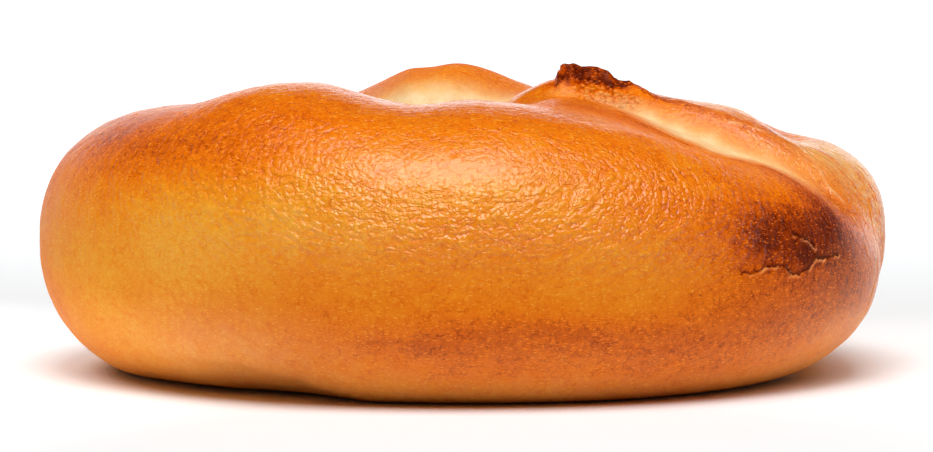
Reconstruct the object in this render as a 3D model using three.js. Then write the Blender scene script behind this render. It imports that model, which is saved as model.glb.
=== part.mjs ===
// A plain glossy bagel: a ring of dough with its two ends lapped over each other at the right.
// The near end stops in a pale groove, and the far end's torn, crumpled edge stands up behind it.
// One solid, in millimetres: +X to the right, +Y to the far side, +Z up, with the sole flat on z = 0.

import * as THREE from "three";
import { ParametricGeometry } from "three/addons/geometries/ParametricGeometry.js";
import { mergeVertices } from "three/addons/utils/BufferGeometryUtils.js";

// ---- driving dimensions -------------------------------------------------------------------

const HOLE_RADIUS = 9.0;
const HOLE_X = -5.0;
const HOLE_Y = 1.0;

const FLOOR_BLEND = 1.0; // height over which the underside rounds off into the flat sole
const DROP_START = 0.15; // share of the way outward where the crest starts to drop
const DROP_END = 0.7;
const SHOULDER_BLEND = 0.35; // where the hole side's exponent turns into the shoulder's

// The seam between the lapped ends starts at the hole and drifts to the near side on its way out.
const SEAM = { y: -3.0, drift: -9.0, startX: 8, endX: 48 };
// The steep face of the far end, from and to these distances past the seam.
const FACE = { start: -0.6, end: 3.4 };
// The pale groove between the two ends.
const GROOVE = { depth: 1.6, past: -2.0, nearWidth: 4.5, farWidth: 2.8, startX: 5, fullX: 19 };
// The near end sinks a little towards the groove.
const NEAR_DIP = { depth: 1.7, x: 29.5, y: -20, widthX: 8, widthY: 7 };
// The far end's ridge falls away behind this distance, more steeply beyond the narrowing.
const RIDGE = { past: 4.0, width: 11, narrower: 7.5, narrowStartX: 33, narrowEndX: 41 };
const CRUMPLE = { past: 3.6, width: 2.2 };
// The far end's own shoulder, and the dip between it and the outer side.
const SHOULDER = { height: 1.0, x: 34, y: 4, widthX: 6.2, widthY: 8 };
const FAR_DIP = { depth: 1.7, x: 41, y: 8, widthX: 3.4, widthY: 12 };
// The lap fades in beyond the hole and out towards the outer side.
const LAP_REACH = { startX: 1, fullX: 7, fadeX: 44, endX: 52, fullRise: 0.7 };
// The lapped end leans over the hole.
const LEAN = { reach: 2.0, angle: 8, width: 38, outward: 0.35 };
// Where the ends meet down the outer side.
const WALL_CREASE = { depth: 0.5, angle: -9.5, width: 3, start: 0.2, full: 0.9, low: -0.75, high: 0.1 };
// The fold low down at the near left: angles where it starts, is full, fades and ends, and its lip.
const TUCK = {
  depth: 0.9, start: -135, full: -126, fade: -109, end: -104,
  lipStart: -128, lipHigh: 5.2, lipLow: 1.2, softness: 1.4, outwardStart: 0.55, outwardFull: 0.7,
};

// Round the ring, as [angle, value]. Angle 0 is the right, 90 the far side and -90 the near side.
const OUTER_RADIUS = [
  [-180, 53.0], [-150, 53.0], [-120, 52.4], [-90, 51.6], [-60, 52.0], [-35, 52.5], [-16, 52.9],
  [6, 52.8], [30, 52.7], [60, 52.0], [90, 51.4], [125, 52.0], [155, 52.6],
];
const CREST_HEIGHT = [
  [-180, 33.2], [-160, 33.7], [-147, 34.9], [-140, 36.0], [-133, 36.95], [-126, 37.4],
  [-120, 37.25], [-114, 36.7], [-97, 35.0], [-82, 35.7], [-62, 35.3], [-38, 36.0], [8, 36.2],
  [28, 34.6], [50, 33.0], [68, 33.6], [75, 34.75], [83, 36.5], [88, 36.8], [93, 36.4], [99, 36.1],
  [105, 34.6], [110, 33.2], [116, 31.3], [155, 31.4],
];
const OUTWARD_DROP = [
  [-180, 0], [-97, 0], [-82, 0.3], [-62, 1.4], [-38, 4.8], [-13, 6.0], [10, 5.4], [24, 3.4],
  [50, 1.3], [80, 0.4], [104, 0.4], [125, 0],
];
const WIDEST_HEIGHT = [
  [-180, 17.3], [-60, 17.0], [-30, 15.2], [-13, 14.0], [-2, 17.5], [15, 18.2], [60, 17.3],
];
// How far the rounded underside would reach below z = 0, before it flattens into the sole.
const FLOOR_SINK = [
  [-180, 1.5], [-165, 1.4], [-150, 0.7], [-130, 0.35], [-118, 0.35], [-112, 0.8], [-104, 1.5],
  [-90, 1.6], [-60, 2.0], [-30, 1.6], [0, 1.5], [90, 1.5],
];

// Exponents of the rounded section: 2 is an ellipse, and more is squarer.
const HOLE_SIDE_POWER = [
  [-180, 2.2], [-90, 2.2], [-45, 2.8], [-10, 4.0], [20, 4.0], [50, 2.6], [90, 2.4],
];
const SHOULDER_POWER = [
  [-180, 2.2], [-60, 2.2], [-30, 2.0], [-13, 1.9], [-2, 2.6], [15, 2.7], [50, 2.3], [110, 2.2],
];
const UNDERSIDE_POWER = [
  [-180, 2.24], [-150, 2.12], [-120, 2.1], [-100, 2.4], [-75, 2.5], [-55, 2.45], [-35, 2.42],
  [-20, 2.27], [-5, 1.95], [15, 1.9], [40, 2.1], [90, 2.3],
];

// Along the lapped end, as [x, height]: its smooth ridge, and the torn knobs on that ridge.
const RIDGE_HEIGHT = [
  [2, 0.0], [6, 0.3], [10, 0.7], [13, 1.0], [18, 1.1], [25, 0.9], [30, 1.5], [36, 1.6], [42, 1.0],
  [48, 0.8],
];
const CRUMPLE_HEIGHT = [
  [11.8, 0.0], [12.3, 1.8], [13.8, 1.85], [15.0, 1.4], [17.4, 1.35], [18.3, 0.7], [19.4, 0.2],
  [20.6, 0.5], [22.2, 0.6], [23.4, 0.0], [25.0, 0.0], [27.5, 0.3], [30.0, 0.0],
];

// Grid of the surface, as [share of the steps, angle]: finer along the lap and over the top.
const RING_STEPS = 112;
const RING_SPREAD = [[0, -180], [0.31, -35], [0.7, 25], [1, 180]];
const TUBE_STEPS = 44;
const TUBE_SPREAD = [[0, -180], [0.36, 0], [0.59, 85], [0.91, 140], [1, 180]];
const WELD_DISTANCE = 1e-4;

// ---- small functions ----------------------------------------------------------------------

const { clamp, degToRad, lerp } = THREE.MathUtils;

function smooth(low, high, value) {
  const t = clamp((value - low) / (high - low), 0, 1);
  return t * t * (3 - 2 * t);
}

function bell(distance, width) {
  return Math.exp(-((distance / width) ** 2));
}

function signedPower(value, power) {
  return Math.sign(value) * Math.abs(value) ** power;
}

// Straight lines from point to point, level beyond both ends.
function along(points, position) {
  if (position <= points[0][0]) return points[0][1];
  for (let i = 1; i < points.length; i += 1) {
    const [start, before] = points[i - 1];
    const [end, after] = points[i];
    if (position <= end) return lerp(before, after, (position - start) / (end - start));
  }
  return points[points.length - 1][1];
}

// A smooth curve through the points that closes on itself after 360 degrees.
function round(points, angle) {
  const count = points.length;
  const first = points[0][0];
  const place = (i) => points[(i + count) % count][0] + 360 * Math.floor(i / count);
  const value = (i) => points[(i + count) % count][1];
  const turned = THREE.MathUtils.euclideanModulo(angle - first, 360) + first;
  let i = 0;
  while (i < count - 1 && place(i + 1) <= turned) i += 1;
  const span = place(i + 1) - place(i);
  const t = (turned - place(i)) / span;
  const slopeHere = ((value(i + 1) - value(i - 1)) / (place(i + 1) - place(i - 1))) * span;
  const slopeNext = ((value(i + 2) - value(i)) / (place(i + 2) - place(i))) * span;
  const t2 = t * t;
  const t3 = t2 * t;
  return (
    (2 * t3 - 3 * t2 + 1) * value(i) +
    (t3 - 2 * t2 + t) * slopeHere +
    (3 * t2 - 2 * t3) * value(i + 1) +
    (t3 - t2) * slopeNext
  );
}

// ---- relief -------------------------------------------------------------------------------

// A smooth mound of height 1 at (x, y).
function mound({ x, y, widthX, widthY }, atX, atY) {
  return bell(atX - x, widthX) * bell(atY - y, widthY);
}

function seamY(x) {
  return SEAM.y + SEAM.drift * smooth(SEAM.startX, SEAM.endX, x);
}

// Height added on top by the lap: groove, ridge, torn knobs, and the far end's own shoulder.
function lapRelief(x, y) {
  const past = y - seamY(x);
  const face = smooth(FACE.start, FACE.end, past);
  const grooveReach = smooth(GROOVE.startX, GROOVE.fullX, x);
  const grooveWidth = past < GROOVE.past ? GROOVE.nearWidth : GROOVE.farWidth;
  const groove = GROOVE.depth * bell(past - GROOVE.past, grooveWidth) * grooveReach;
  const ridgeWidth = RIDGE.width - RIDGE.narrower * smooth(RIDGE.narrowStartX, RIDGE.narrowEndX, x);
  const ridge = along(RIDGE_HEIGHT, x) * bell(Math.max(past - RIDGE.past, 0), ridgeWidth);
  const crumple = along(CRUMPLE_HEIGHT, x) * bell(Math.max(past - CRUMPLE.past, 0), CRUMPLE.width);
  const shoulder = SHOULDER.height * mound(SHOULDER, x, y);
  const dips = NEAR_DIP.depth * mound(NEAR_DIP, x, y) + FAR_DIP.depth * mound(FAR_DIP, x, y);
  return (ridge + crumple) * face + shoulder - dips - groove;
}

// Depth of the fold where the skin tucks under, low down at the near left.
function tuckDepth(angle, height, outward) {
  const lip = lerp(TUCK.lipHigh, TUCK.lipLow, smooth(TUCK.lipStart, TUCK.end, angle));
  const reach = smooth(TUCK.start, TUCK.full, angle) * (1 - smooth(TUCK.fade, TUCK.end, angle));
  const outerPart = smooth(TUCK.outwardStart, TUCK.outwardFull, outward);
  return TUCK.depth * smooth(0, TUCK.softness, lip - height) * reach * outerPart;
}

// The rounded underside flattens into the sole.
function settle(height) {
  if (height > FLOOR_BLEND) return height;
  if (height < -FLOOR_BLEND) return 0;
  return (height + FLOOR_BLEND) ** 2 / (4 * FLOOR_BLEND);
}

// ---- surface ------------------------------------------------------------------------------

// angle goes round the ring; turn goes round its section, from the outer side over the top.
function surfacePoint(angle, turn, target) {
  const ringX = Math.cos(degToRad(angle));
  const ringY = Math.sin(degToRad(angle));
  const sideways = Math.cos(degToRad(turn));
  const upwards = Math.sin(degToRad(turn));
  const isUpper = upwards > 0;

  const widest = round(WIDEST_HEIGHT, angle);
  const shoulderShare = smooth(-SHOULDER_BLEND, SHOULDER_BLEND, sideways);
  const topPower = lerp(round(HOLE_SIDE_POWER, angle), round(SHOULDER_POWER, angle), shoulderShare);
  const power = 2 / (isUpper ? topPower : round(UNDERSIDE_POWER, angle));
  const outward = 0.5 + 0.5 * signedPower(sideways, power);
  const rise = Math.abs(upwards) ** power;

  const { depth, width, start, full, low, high } = WALL_CREASE;
  const creaseReach = smooth(start, full, sideways) * smooth(low, high, upwards);
  const crease = depth * bell(angle - WALL_CREASE.angle, width) * creaseReach;
  const outer = round(OUTER_RADIUS, angle) - crease;
  let x = lerp(HOLE_X + HOLE_RADIUS * ringX, outer * ringX, outward);
  let y = lerp(HOLE_Y + HOLE_RADIUS * ringY, outer * ringY, outward);

  const drop = round(OUTWARD_DROP, angle) * smooth(DROP_START, DROP_END, outward);
  const end = isUpper ? round(CREST_HEIGHT, angle) - drop : -round(FLOOR_SINK, angle);
  let z = lerp(widest, end, rise);

  if (isUpper) {
    const innerPart = 1 - smooth(0, LEAN.outward, outward);
    x -= LEAN.reach * bell(angle - LEAN.angle, LEAN.width) * rise * innerPart;
  }
  const tuck = tuckDepth(angle, z, outward);
  x -= tuck * ringX;
  y -= tuck * ringY;

  const fadeIn = smooth(LAP_REACH.startX, LAP_REACH.fullX, x);
  const fadeOut = 1 - smooth(LAP_REACH.fadeX, LAP_REACH.endX, x);
  const onTop = fadeIn * fadeOut * smooth(0, LAP_REACH.fullRise, upwards);
  z = settle(z + onTop * lapRelief(x, y));
  target.set(x, y, z);
}

// ---- the bagel ----------------------------------------------------------------------------

function makeCrustGeometry() {
  const point = (u, v, target) => {
    // Both ends of each loop are the same place, so the surface closes exactly.
    const angle = along(RING_SPREAD, u === 1 ? 0 : u);
    const turn = along(TUBE_SPREAD, v === 1 ? 0 : v);
    surfacePoint(angle, turn, target);
  };
  const geometry = new ParametricGeometry(point, RING_STEPS, TUBE_STEPS);
  geometry.deleteAttribute("normal");
  geometry.deleteAttribute("uv");
  const body = mergeVertices(geometry, WELD_DISTANCE);

  // The origin is at the middle of the footprint, on the sole.
  body.computeBoundingBox();
  const middle = body.boundingBox.getCenter(new THREE.Vector3());
  body.translate(-middle.x, -middle.y, 0);
  body.computeVertexNormals();
  return body;
}

const crustMaterial = new THREE.MeshStandardMaterial({
  color: 0xd9801f,
  roughness: 0.34,
  metalness: 0,
});

const bagel = new THREE.Mesh(makeCrustGeometry(), crustMaterial);
bagel.name = "bagel";

const part = new THREE.Group();
part.add(bagel);

export default part;
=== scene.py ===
"""A plain glossy bagel on a pale studio floor, at the photograph's viewing angle.

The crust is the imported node's own surface on a finer grid, with the relief that the solid is too
coarse for: the lumps of the torn lip, the cracks, two folds, the streaks and the uneven skin. Shapes
are worked out in millimetres and brought to the frame's size at the end.
"""
import math

import bmesh
import bpy
import numpy as np
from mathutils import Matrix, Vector, noise


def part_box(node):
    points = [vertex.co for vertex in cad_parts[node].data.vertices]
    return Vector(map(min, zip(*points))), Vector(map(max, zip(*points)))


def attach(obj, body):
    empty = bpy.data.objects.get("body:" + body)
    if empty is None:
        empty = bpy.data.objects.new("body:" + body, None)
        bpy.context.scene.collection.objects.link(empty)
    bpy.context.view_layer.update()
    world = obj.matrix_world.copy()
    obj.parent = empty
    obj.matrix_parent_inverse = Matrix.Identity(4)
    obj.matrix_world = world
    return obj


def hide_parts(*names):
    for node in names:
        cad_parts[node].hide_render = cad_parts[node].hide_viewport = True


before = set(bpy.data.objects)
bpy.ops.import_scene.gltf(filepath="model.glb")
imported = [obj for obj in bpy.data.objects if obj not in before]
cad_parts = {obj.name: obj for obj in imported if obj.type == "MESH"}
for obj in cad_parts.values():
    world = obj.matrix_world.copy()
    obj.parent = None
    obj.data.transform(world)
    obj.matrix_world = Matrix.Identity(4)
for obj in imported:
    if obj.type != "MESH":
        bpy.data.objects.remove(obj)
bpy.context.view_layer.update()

# ---- the bagel's form, as in the solid (millimetres and degrees) ----
# A pair of numbers is where something starts and where it is complete. A pair of pairs is where it
# rises and where it falls. "Past" is the distance past the seam of the lapped ends, to the far side.

HOLE_RADIUS = 9.0
HOLE_X = -5.0
HOLE_Y = 1.0
FLOOR_BLEND = 1.0

# The seam, the pale groove between the lapped ends, and the far end's ridge and torn knobs.
SEAM_START_Y = -3.0
SEAM_DRIFT = 9.0
SEAM_DRIFT_X = (8, 48)
LAP_X = ((1, 7), (44, 52))
LAP_UPWARDS = (0, 0.7)
LAP_FACE_PAST = (-0.6, 3.4)
GROOVE_DEPTH = 1.6
GROOVE_PAST = -2.0
GROOVE_NEAR_WIDTH, GROOVE_FAR_WIDTH = 4.5, 2.8
GROOVE_START_X = (5, 19)
RIDGE_TOP_PAST = 4.0
RIDGE_WIDTH, RIDGE_END_WIDTH = 11.0, 3.5
RIDGE_NARROWS_X = (33, 41)
CRUMPLE_TOP_PAST = 3.6
CRUMPLE_WIDTH = 2.2
CRUMPLE_SHIFTS = (-0.35, 0.0, 0.35)  # its height is averaged over these, which rounds its corners
# The far end's shoulder, the dip behind it, and the near end's dip: (x, width, y, width, height).
LAP_SWELLINGS = [
    (34, 6.2, 4, 8, 1.0),
    (41, 3.4, 8, 12, -1.7),
    (29.5, 8.0, -20.0, 7.0, -1.7),
]

# How far the hole's upper edge leans into the hole at the right, and the crease down the right wall.
LEAN_REACH = 2.0
LEAN_ANGLE, LEAN_WIDTH = 8.0, 38.0
LEAN_OUTWARD = (0, 0.35)
WALL_CREASE_DEPTH = 0.5
WALL_CREASE_ANGLE, WALL_CREASE_WIDTH = -9.5, 3.0
WALL_CREASE_SIDEWAYS = (0.2, 0.9)
WALL_CREASE_UPWARDS = (-0.75, 0.1)

# The fold at the near left, where the skin tucks under below a lip.
TUCK_DEPTH = 0.9
TUCK_LIP_HEIGHTS = (5.2, 1.2)
TUCK_LIP_ANGLES = (-128, -104)
TUCK_ANGLES = ((-135, -126), (-109, -104))
TUCK_RISE = 1.4
TUCK_OUTWARD = (0.55, 0.7)

# Where the section goes over from the hole's side to the shoulder, and where the crest drops.
SHOULDER_BLEND = (-0.35, 0.35)
DROP_OUTWARD = (0.15, 0.7)

# Round the ring, as (angle, value). Angle 0 is the right, 90 the far side and -90 the near side.
OUTER_RADIUS = [
    (-180, 53.0), (-150, 53.0), (-120, 52.4), (-90, 51.6), (-60, 52.0), (-35, 52.5), (-16, 52.9),
    (6, 52.8), (30, 52.7), (60, 52.0), (90, 51.4), (125, 52.0), (155, 52.6),
]
CREST_HEIGHT = [
    (-180, 33.2), (-160, 33.7), (-147, 34.9), (-140, 36.0), (-133, 36.95), (-126, 37.4),
    (-120, 37.25), (-114, 36.7), (-97, 35.0), (-82, 35.7), (-62, 35.3), (-38, 36.0), (8, 36.2),
    (28, 34.6), (50, 33.0), (68, 33.6), (75, 34.75), (83, 36.5), (88, 36.8), (93, 36.4), (99, 36.1),
    (105, 34.6), (110, 33.2), (116, 31.3), (155, 31.4),
]
OUTWARD_DROP = [
    (-180, 0), (-97, 0), (-82, 0.3), (-62, 1.4), (-38, 4.8), (-13, 6.0), (10, 5.4), (24, 3.4),
    (50, 1.3), (80, 0.4), (104, 0.4), (125, 0),
]
WIDEST_HEIGHT = [
    (-180, 17.3), (-60, 17.0), (-30, 15.2), (-13, 14.0), (-2, 17.5), (15, 18.2), (60, 17.3),
]
# How far the rounded underside would reach below the floor, before it flattens into the sole.
FLOOR_SINK = [
    (-180, 1.5), (-165, 1.4), (-150, 0.7), (-130, 0.35), (-118, 0.35), (-112, 0.8), (-104, 1.5),
    (-90, 1.6), (-60, 2.0), (-30, 1.6), (0, 1.5), (90, 1.5),
]

# Exponents of the rounded section: 2 is an ellipse, and more is squarer.
HOLE_SIDE_POWER = [
    (-180, 2.2), (-90, 2.2), (-45, 2.8), (-10, 4.0), (20, 4.0), (50, 2.6), (90, 2.4),
]
SHOULDER_POWER = [
    (-180, 2.2), (-60, 2.2), (-30, 2.0), (-13, 1.9), (-2, 2.6), (15, 2.7), (50, 2.3), (110, 2.2),
]
UNDERSIDE_POWER = [
    (-180, 2.24), (-150, 2.12), (-120, 2.1), (-100, 2.4), (-75, 2.5), (-55, 2.45), (-35, 2.42),
    (-20, 2.27), (-5, 1.95), (15, 1.9), (40, 2.1), (90, 2.3),
]

# Along the lapped end, as (x, height): its smooth ridge, and the torn knobs on that ridge.
RIDGE_HEIGHT = [
    (2, 0.0), (6, 0.3), (10, 0.7), (13, 1.0), (18, 1.1), (25, 0.9), (30, 1.5), (36, 1.6), (42, 1.0),
    (48, 0.8),
]
CRUMPLE_HEIGHT = [
    (11.8, 0.0), (12.3, 1.8), (13.8, 1.85), (15.0, 1.4), (17.4, 1.35), (18.3, 0.7), (19.4, 0.2),
    (20.6, 0.5), (22.2, 0.6), (23.4, 0.0), (25.0, 0.0), (27.5, 0.3), (30.0, 0.0),
]

# Grid of the surface, as (share of the steps, angle): finer along the lap and over the top.
RING_STEPS = 380
RING_SPREAD = [(0, -180), (0.30, -40), (0.56, 30), (1, 180)]
TUBE_STEPS = 176
TUBE_SPREAD = [(0, -180), (0.06, -150), (0.18, -60), (0.42, 0), (0.86, 140), (1, 180)]

# Degrees between the places from which a normal is worked out, and limits used in working out.
NORMAL_STEP = 0.05
FAR_AWAY = 1e9
TINY = 1e-12
SAME_SHARE = 1e-6
MM_PER_METRE = 1000.0
# How far each seed moves the noise along the three axes.
SEED_SHIFT = (37.1, 11.7, 23.3)

# ---- small functions --------------------------------------


def smooth(low, high, value):
    share = np.clip((value - low) / (high - low), 0.0, 1.0)
    return share * share * (3.0 - 2.0 * share)


def bell(distance, width):
    return np.exp(-((distance / width) ** 2))


def lerp(start, end, share):
    return start + (end - start) * share


def signed_power(value, power):
    return np.sign(value) * np.abs(value) ** power


def along(points, position):
    """Straight lines from point to point, level beyond both ends."""
    return np.interp(position, [point[0] for point in points], [point[1] for point in points])


def ring_curve(points, angle):
    """A smooth curve through the points that closes on itself after 360 degrees."""
    count = len(points)
    first = points[0][0]
    start = np.array([point[0] - first for point in points] + [360.0])
    value = np.array([point[1] for point in points])

    def place(i):
        return start[i % count] + 360.0 * (i // count)

    turned = (angle - first) % 360.0
    i = np.clip(np.searchsorted(start, turned, side="right") - 1, 0, count - 1)
    span = place(i + 1) - place(i)
    t = (turned - place(i)) / span
    here, after = value[i % count], value[(i + 1) % count]
    slope_here = (after - value[(i - 1) % count]) / (place(i + 1) - place(i - 1)) * span
    slope_next = (value[(i + 2) % count] - here) / (place(i + 2) - place(i)) * span
    t2, t3 = t * t, t * t * t
    return (
        (2 * t3 - 3 * t2 + 1) * here
        + (t3 - 2 * t2 + t) * slope_here
        + (3 * t2 - 2 * t3) * after
        + (t3 - t2) * slope_next
    )


def within(value, rise, fall):
    """1 in the middle: it rises over the first pair of places and falls over the second."""
    return smooth(*rise, value) * (1 - smooth(*fall, value))


def lumps(points, size, seed):
    """Soft noise from about -1 to 1, with lumps of the given size."""
    shift = Vector([seed * step for step in SEED_SHIFT])
    return np.array([noise.noise(Vector(point) / size + shift) for point in points.tolist()])


def layered(points, *layers):
    """Lumps on top of each other, each layer as (size, seed, amount)."""
    return sum(amount * lumps(points, size, seed) for size, seed, amount in layers)


# ---- the surface ------------------------------------------


def seam_y(x):
    """The seam starts at the hole and drifts to the near side on its way out."""
    return SEAM_START_Y - SEAM_DRIFT * smooth(*SEAM_DRIFT_X, x)


def lap_relief(x, y):
    past = y - seam_y(x)
    face = smooth(*LAP_FACE_PAST, past)
    groove_width = np.where(past < GROOVE_PAST, GROOVE_NEAR_WIDTH, GROOVE_FAR_WIDTH)
    groove = GROOVE_DEPTH * bell(past - GROOVE_PAST, groove_width) * smooth(*GROOVE_START_X, x)
    ridge_width = lerp(RIDGE_WIDTH, RIDGE_END_WIDTH, smooth(*RIDGE_NARROWS_X, x))
    ridge = along(RIDGE_HEIGHT, x) * face * bell(np.maximum(past - RIDGE_TOP_PAST, 0), ridge_width)
    crumple = np.mean([along(CRUMPLE_HEIGHT, x + shift) for shift in CRUMPLE_SHIFTS], axis=0)
    crumple = crumple * face * bell(np.maximum(past - CRUMPLE_TOP_PAST, 0), CRUMPLE_WIDTH)
    relief = ridge + crumple - groove
    for centre_x, width_x, centre_y, width_y, height in LAP_SWELLINGS:
        relief = relief + height * bell(x - centre_x, width_x) * bell(y - centre_y, width_y)
    return relief


def tuck_depth(angle, height, outward):
    lip = lerp(*TUCK_LIP_HEIGHTS, smooth(*TUCK_LIP_ANGLES, angle))
    reach = within(angle, *TUCK_ANGLES) * smooth(*TUCK_OUTWARD, outward)
    return TUCK_DEPTH * smooth(0, TUCK_RISE, lip - height) * reach


def settle(height):
    """The rounded underside flattens into the sole."""
    rounded = (height + FLOOR_BLEND) ** 2 / (4 * FLOOR_BLEND)
    return np.where(height > FLOOR_BLEND, height, np.where(height < -FLOOR_BLEND, 0.0, rounded))


def surface(angle, turn):
    """Points of the crust: angle goes round the ring, turn goes round its section."""
    ring_x, ring_y = np.cos(np.radians(angle)), np.sin(np.radians(angle))
    sideways, upwards = np.cos(np.radians(turn)), np.sin(np.radians(turn))
    is_upper = upwards > 0

    widest = ring_curve(WIDEST_HEIGHT, angle)
    shoulder_share = smooth(*SHOULDER_BLEND, sideways)
    hole_power = ring_curve(HOLE_SIDE_POWER, angle)
    top_power = lerp(hole_power, ring_curve(SHOULDER_POWER, angle), shoulder_share)
    power = 2.0 / np.where(is_upper, top_power, ring_curve(UNDERSIDE_POWER, angle))
    outward = 0.5 + 0.5 * signed_power(sideways, power)
    rise = np.abs(upwards) ** power

    crease_reach = smooth(*WALL_CREASE_SIDEWAYS, sideways) * smooth(*WALL_CREASE_UPWARDS, upwards)
    crease = WALL_CREASE_DEPTH * bell(angle - WALL_CREASE_ANGLE, WALL_CREASE_WIDTH) * crease_reach
    outer = ring_curve(OUTER_RADIUS, angle) - crease
    x = lerp(HOLE_X + HOLE_RADIUS * ring_x, outer * ring_x, outward)
    y = lerp(HOLE_Y + HOLE_RADIUS * ring_y, outer * ring_y, outward)

    drop = ring_curve(OUTWARD_DROP, angle) * smooth(*DROP_OUTWARD, outward)
    crest = ring_curve(CREST_HEIGHT, angle) - drop
    z = lerp(widest, np.where(is_upper, crest, -ring_curve(FLOOR_SINK, angle)), rise)

    lean = LEAN_REACH * bell(angle - LEAN_ANGLE, LEAN_WIDTH) * rise
    lean *= 1 - smooth(*LEAN_OUTWARD, outward)
    x = x - np.where(is_upper, lean, 0.0)
    tuck = tuck_depth(angle, z, outward)
    x, y = x - tuck * ring_x, y - tuck * ring_y

    on_top = within(x, *LAP_X) * smooth(*LAP_UPWARDS, upwards)
    z = settle(z + on_top * lap_relief(x, y))
    return np.stack([x, y, z], axis=-1)


def surface_normals(angle, turn, step=NORMAL_STEP):
    across = surface(angle + step, turn) - surface(angle - step, turn)
    around = surface(angle, turn + step) - surface(angle, turn - step)
    normal = np.cross(across, around)
    return normal / np.maximum(np.linalg.norm(normal, axis=1, keepdims=True), TINY)


# ---- relief finer than the solid --------------------------

# Cracks in the near right wall, as (angle, height) of the points they pass.
CRACKS = [
    [
        (-50.8, 15.8), (-48.0, 15.6), (-46.5, 16.2), (-42.8, 16.1), (-41.5, 15.2), (-39.6, 14.9),
        (-37.2, 15.6), (-36.2, 16.6), (-33.2, 16.5), (-30.0, 16.7),
    ],
    [(-40.0, 19.6), (-38.0, 19.1), (-36.4, 18.4), (-35.8, 17.8)],
    [(-22.8, 23.1), (-21.6, 22.3), (-20.2, 21.6), (-18.6, 21.6)],
]
CRACK_STEP, CRACK_JITTER = 0.25, 0.12
CRACK_WIDTH, CRACK_DEPTH, CRACK_SHALLOWEST = 0.09, 0.3, 0.65
CRACK_LIP_PLACE, CRACK_LIP_WIDTH = 0.24, 0.13
CRACK_LIP_HEIGHT = 0.09
CRACK_UPPER_LIP = 0.5
FIRST_CRACK_SEED = 3

# The thin edge where the skin of the near end stops, as (angle, height), and the crease beside it.
SKIN_EDGE = [
    (-12.2, 31.5), (-11.2, 30.6), (-10.0, 29.8), (-9.4, 28.6), (-10.5, 27.6), (-12.5, 25.9),
    (-14.2, 23.7), (-14.5, 22.3), (-15.5, 21.0), (-17.5, 19.8), (-19.2, 18.2), (-19.5, 15.8),
]
SIDE_CREASE = [(-8.0, 21.7), (-11.2, 17.6), (-15.2, 14.6), (-17.0, 10.1), (-17.5, 7.5)]
EDGE_STEP, EDGE_JITTER = 1.2, 0.12
EDGE_WIDTH = 0.22
EDGE_HEIGHT = 0.09
SKIN_EDGE_SEED, SIDE_CREASE_SEED = 11, 12
CREASE_LIP_PLACE, CREASE_LIP_WIDTH, CREASE_LIP_HEIGHT = 0.8, 0.5, 0.045

# The turns round the section over the outer wall, and how many of them a height is looked up in.
WALL_TURNS = (-50, 88)
WALL_TURN_COUNT = 277

# The torn lip, the knobs on it, and the small lumps on the torn face below.
TORN_LIP_X = ((11.2, 12.4), (21, 27))
TORN_LIP_PAST, TORN_LIP_WIDTH, TORN_LIP_HEIGHT = 2.6, 1.1, 0.4
TORN_LIP_THINS_X, TORN_LIP_THINNEST = (18, 21), 0.5
STEEP_TILT = (0.97, 0.6)
KNOBS_PAST, KNOBS_WIDTH = 3.0, 1.9
KNOBS_ON_LEVEL = 0.4
KNOBS = [(1.5, 4, 1.0), (0.75, 5, 0.7)]
TORN_FACE_PAST = ((-2.2, -0.8), (0.9, 2.4))
TORN_FACE_X = ((12.5, 15), (20, 24))
TORN_FACE_LUMPS = (0.9, 6, 0.3)
TORN_FACE_SQUEEZE = (0.75, 1.2, 1.0)

# Unevenness all over the skin, and where broken lines are whole, as (lump size, seed, amount).
SKIN_LUMPS = [(9.0, 1, 0.12), (3.0, 2, 0.07), (1.3, 3, 0.05)]
BROKEN_LUMPS = (1.6, 10, 1.0)
BROKEN_LIMITS = (-0.5, 0.3)

# The low valley where the near left bulge's skin meets the sole, and a faint upright fold by it.
VALLEY_ANGLE, VALLEY_WIDTH, VALLEY_DEPTH = -113.0, 1.6, 0.25
VALLEY_SLANT, VALLEY_MIDDLE = 0.6, 6.0
VALLEY_HEIGHTS = ((0.5, 3), (9, 15))
UPRIGHT_ANGLE, UPRIGHT_WIDTH, UPRIGHT_HEIGHT = -90.6, 0.7, 0.12
UPRIGHT_HEIGHTS = ((3, 6), (10, 13))

# The relief fades in above the floor, and what is only on top fades in with the normal's tilt.
OFF_FLOOR_HEIGHTS = (0.3, 3.0)
ON_TOP_TILT = (0.1, 0.6)

# Where the grid is finer: along the lap, by limits of x, and so far from the thin lines.
TORN_EDGE_LIMITS = (10, 25)
GROOVE_LIMITS = (23, 34)
LAP_PAST_LIMITS = (-3.5, 6.5)
LAP_LOWEST = 28.0
CRACK_REACH = 1.5
SKIN_EDGE_REACH = 1.2
TORN_EDGE_CUTS, GROOVE_CUTS, CRACK_CUTS, SKIN_EDGE_CUTS = 3, 1, 4, 3


def wall_points(places):
    """Points on the outer side at the given angles and heights."""
    turns = np.linspace(*WALL_TURNS, WALL_TURN_COUNT)
    points = []
    for angle, height in places:
        wall = surface(np.full_like(turns, angle), turns)
        turn = np.interp(height, wall[:, 2], turns)
        points.append(surface(np.array([angle]), np.array([turn]))[0])
    return np.array(points)


def jagged(points, step, jitter, seed):
    """The line through the points in short steps, each a little off it."""
    random = np.random.default_rng(seed)
    steps = []
    for start, end in zip(points[:-1], points[1:]):
        count = max(1, round(float(np.linalg.norm(end - start)) / step))
        for i in range(count):
            steps.append(lerp(start, end, i / count) + [0, 0, random.normal(0, jitter)])
    steps.append(points[-1])
    return np.array(steps)


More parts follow.
